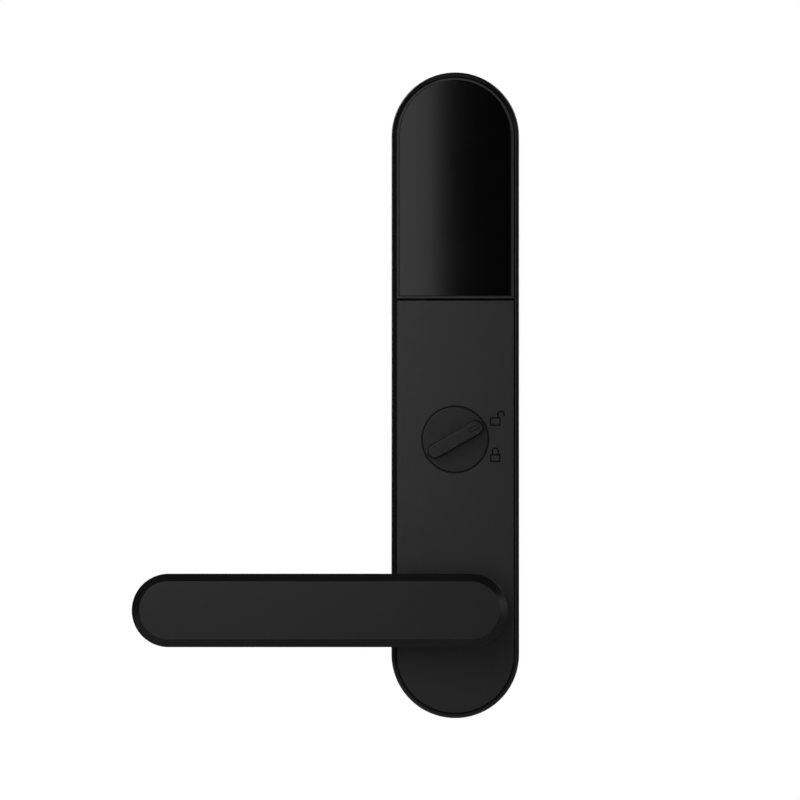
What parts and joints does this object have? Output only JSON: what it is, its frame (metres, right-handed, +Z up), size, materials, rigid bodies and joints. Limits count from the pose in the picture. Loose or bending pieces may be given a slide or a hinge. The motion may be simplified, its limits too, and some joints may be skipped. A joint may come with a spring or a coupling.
{
  "type": "keypad smart lock",
  "caption": "Room-side unit of a keypad smart lock: oblong black escutcheon with a lever handle, a motor-driven thumbturn and a glossy battery cover.",
  "frame": {"origin": "on the lever spindle's axis at the door face, which is the centre of the two fixing bolts", "axes": "+Z up along the escutcheon, +Y into the door, so the front faces -Y and +X is to the right seen from the room"},
  "size_m": [0.2088, 0.107, 0.3489],
  "materials": {
    "satin_black_metal": "satin black powder coat",
    "matte_black_shell": "fine matte black moulding",
    "gloss_black_window": "high gloss black",
    "mark_black": "black infill",
    "zinc_steel": "bright zinc plate",
    "screw_steel": "zinc-plated",
    "black_oxide_steel": "black oxide",
    "ground_steel": "ground",
    "spring_steel": "drawn wire",
    "bronze_bush": "sintered bronze",
    "white_gear_plastic": "natural acetal",
    "bracket_plastic": "glass-filled nylon",
    "motor_can": "nickel-plated can",
    "board_laminate": "green solder mask",
    "chip_black": "moulded epoxy",
    "shield_can": "tinned",
    "socket_plastic": "natural nylon",
    "radio_board": "blue solder mask",
    "tray_plastic": "black moulding",
    "cell_wrap": "printed sleeve without words",
    "nickel_contact": "nickel-plated",
    "magnet_nickel": "nickel-plated",
    "lead_sleeve": "soft sleeve"
  },
  "bodies": {
    "escutcheon": {"housing": "satin_black_metal", "mounting_plate": "zinc_steel", "front_plate": "matte_black_shell", "seam_seal": "mark_black", "pictogram_inlays": "mark_black", "front_plate_screws": "screw_steel", "housing_lock_screw": "screw_steel", "lever_bush": "bracket_plastic", "thumbturn_rear_bush": "bronze_bush", "thumbturn_front_bush": "bronze_bush", "gearbox_bracket": "bracket_plastic", "gearbox_screws": "screw_steel", "idler_axle": "ground_steel", "motor": "motor_can", "motor_clamp": "zinc_steel", "motor_clamp_screws": "screw_steel", "motor_lead": "lead_sleeve", "control_board": "board_laminate", "board_screws": "screw_steel", "processor_module": "shield_can", "driver_chip": "chip_black", "capacitors": "chip_black", "beeper": "chip_black", "cable_socket": "socket_plastic", "motor_socket": "socket_plastic", "battery_socket": "socket_plastic", "radio_module": "radio_board", "battery_tray": "tray_plastic", "tray_screws": "screw_steel", "battery_1": "cell_wrap", "battery_2": "cell_wrap", "battery_3": "cell_wrap", "battery_4": "cell_wrap", "contact_plates": "nickel_contact", "contact_springs": "nickel_contact", "battery_lead": "lead_sleeve", "housing_magnets": "magnet_nickel", "spring_cup": "zinc_steel", "spring_cup_cover": "zinc_steel", "return_spring": "spring_steel", "spring_cup_screws": "screw_steel"},
    "lever_set": {"lever": "satin_black_metal", "spindle": "ground_steel", "lever_hub": "ground_steel", "grub_screw": "black_oxide_steel", "lever_circlip": "spring_steel"},
    "thumbturn": {"thumbturn_knob": "satin_black_metal", "indicator_inlay": "satin_black_metal", "thumbturn_shaft": "ground_steel", "turn_gear": "white_gear_plastic", "tailpiece": "ground_steel", "shaft_circlip": "spring_steel"},
    "idler": {"idler_gear": "white_gear_plastic"},
    "motor_rotor": {"motor_pinion": "bronze_bush", "motor_shaft": "ground_steel"},
    "cover": {"battery_cover": "matte_black_shell", "cover_glass": "gloss_black_window", "cover_magnets": "magnet_nickel"}
  },
  "joints": [
    {"name": "lever_turn", "type": "hinge", "parent": "escutcheon", "child": "lever_set", "pos_m": [0, 0, 0], "axis": [0, -1, 0], "range_deg": [0, 45], "stiffness_Nm_per_rad": 0.8, "springref_deg": -68.75, "deforming": ["return_spring"]},
    {"name": "thumbturn_turn", "type": "hinge", "parent": "escutcheon", "child": "thumbturn", "pos_m": [0, 0, 0.092], "axis": [0, 1, 0], "range_deg": [0, 60]},
    {"name": "idler_spin", "type": "hinge", "parent": "escutcheon", "child": "idler", "pos_m": [0.00193, 0, 0.06808], "axis": [0, 1, 0], "range_deg": [-240, 0]},
    {"name": "motor_spin", "type": "hinge", "parent": "escutcheon", "child": "motor_rotor", "pos_m": [-0.013, 0, 0.056], "axis": [0, 1, 0], "range_deg": [0, 720]},
    {"name": "battery_cover_pull", "type": "slide", "parent": "escutcheon", "child": "cover", "axis": [0, -1, 0], "range_m": [0, 0.04]}
  ],
  "couplings": [
    {"joint": "idler_spin", "follows": "thumbturn_turn", "ratio": -4},
    {"joint": "motor_spin", "follows": "thumbturn_turn", "ratio": 12}
  ]
}
